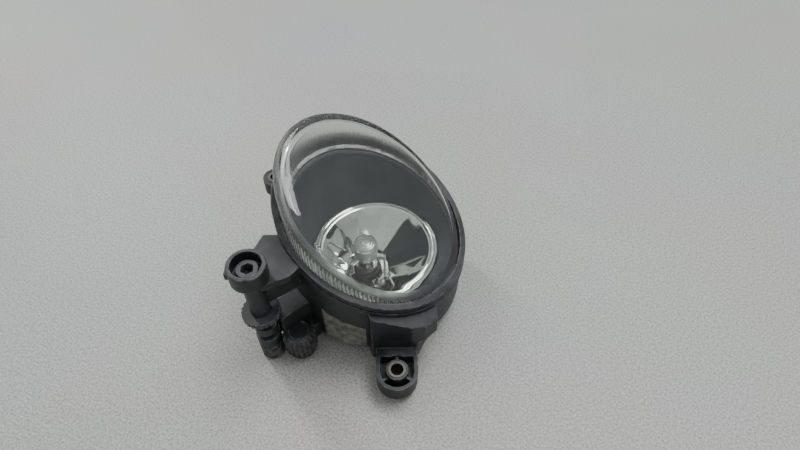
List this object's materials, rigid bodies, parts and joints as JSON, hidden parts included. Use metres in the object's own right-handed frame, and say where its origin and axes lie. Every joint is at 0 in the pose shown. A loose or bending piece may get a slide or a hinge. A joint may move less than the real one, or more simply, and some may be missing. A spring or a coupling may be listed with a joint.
{
  "type": "fog light",
  "caption": "Round car fog light: slanted glass lens in a plastic housing, with lugs, a tilting reflector, bulb, front-access adjuster and rear cover.",
  "frame": {"origin": "middle of the rear cover's outer face, on the housing's axis", "axes": "+Z out of the lens, the way the light goes; +X towards the downhill side of the slanted lens"},
  "size_m": [0.1123, 0.1299, 0.1011],
  "materials": {
    "black_plastic": "moulded, dusty satin",
    "bezel_plastic": "fine matt",
    "base_plastic": "moulded",
    "screw_plastic": "moulded, worn",
    "lens_glass": "clear pressed glass",
    "bulb_glass": "clear",
    "mirror_coat": "vacuum coated",
    "shield_metal": "drawn",
    "steel": "turned",
    "brass": "tinned",
    "rubber": "moulded",
    "label_film": "worn blank film"
  },
  "bodies": {
    "lamp": {"housing": "black_plastic", "lens": "lens_glass", "lens_seal": "rubber", "bezel": "bezel_plastic", "lug_bracket": "black_plastic", "lug_bush": "steel", "ear_bush": "steel", "adjuster_carrier": "black_plastic", "adjuster_cover": "black_plastic", "connector_shell": "black_plastic", "connector_terminals": "brass", "label": "label_film", "vent_cap": "rubber"},
    "reflector_unit": {"reflector": "mirror_coat", "pivot_pins": "steel", "ball_stud": "steel", "bulb_shield": "shield_metal"},
    "bulb": {"bulb_base": "base_plastic", "bulb_oring": "rubber", "bulb_collar": "steel", "bulb_glass": "bulb_glass", "filament": "steel", "filament_posts": "steel", "bulb_terminals": "brass"},
    "screw": {"adjuster_screw": "screw_plastic", "adjuster_wheel": "black_plastic"},
    "nut": {"adjuster_nut": "black_plastic"},
    "cover": {"rear_cover": "black_plastic", "cover_seal": "rubber"}
  },
  "joints": [
    {"name": "screw_turn", "type": "hinge", "parent": "lamp", "child": "screw", "pos_m": [-0.028, -0.065, 0.04], "axis": [0, 0, 1], "range_deg": [-720, 720]},
    {"name": "nut_slide", "type": "slide", "parent": "lamp", "child": "nut", "axis": [0, 0, 1], "range_m": [-0.00201, 0.00201]},
    {"name": "reflector_tilt", "type": "hinge", "parent": "lamp", "child": "reflector_unit", "pos_m": [0, 0, 0.027], "axis": [-0.9184, 0.3956, 0], "range_deg": [-3.12, 3.12]},
    {"name": "bulb_twist", "type": "hinge", "parent": "reflector_unit", "child": "bulb", "pos_m": [-0.0045, -0.0035, 0.012], "axis": [0, 0, 1], "range_deg": [0, 45]},
    {"name": "cover_twist", "type": "hinge", "parent": "lamp", "child": "cover", "pos_m": [0, 0, 0], "axis": [0, 0, 1], "range_deg": [0, 30]}
  ],
  "couplings": [
    {"joint": "nut_slide", "follows": "screw_turn", "m_per_rad": 0.00015915},
    {"joint": "reflector_tilt", "follows": "screw_turn", "ratio": 0.0043015}
  ]
}
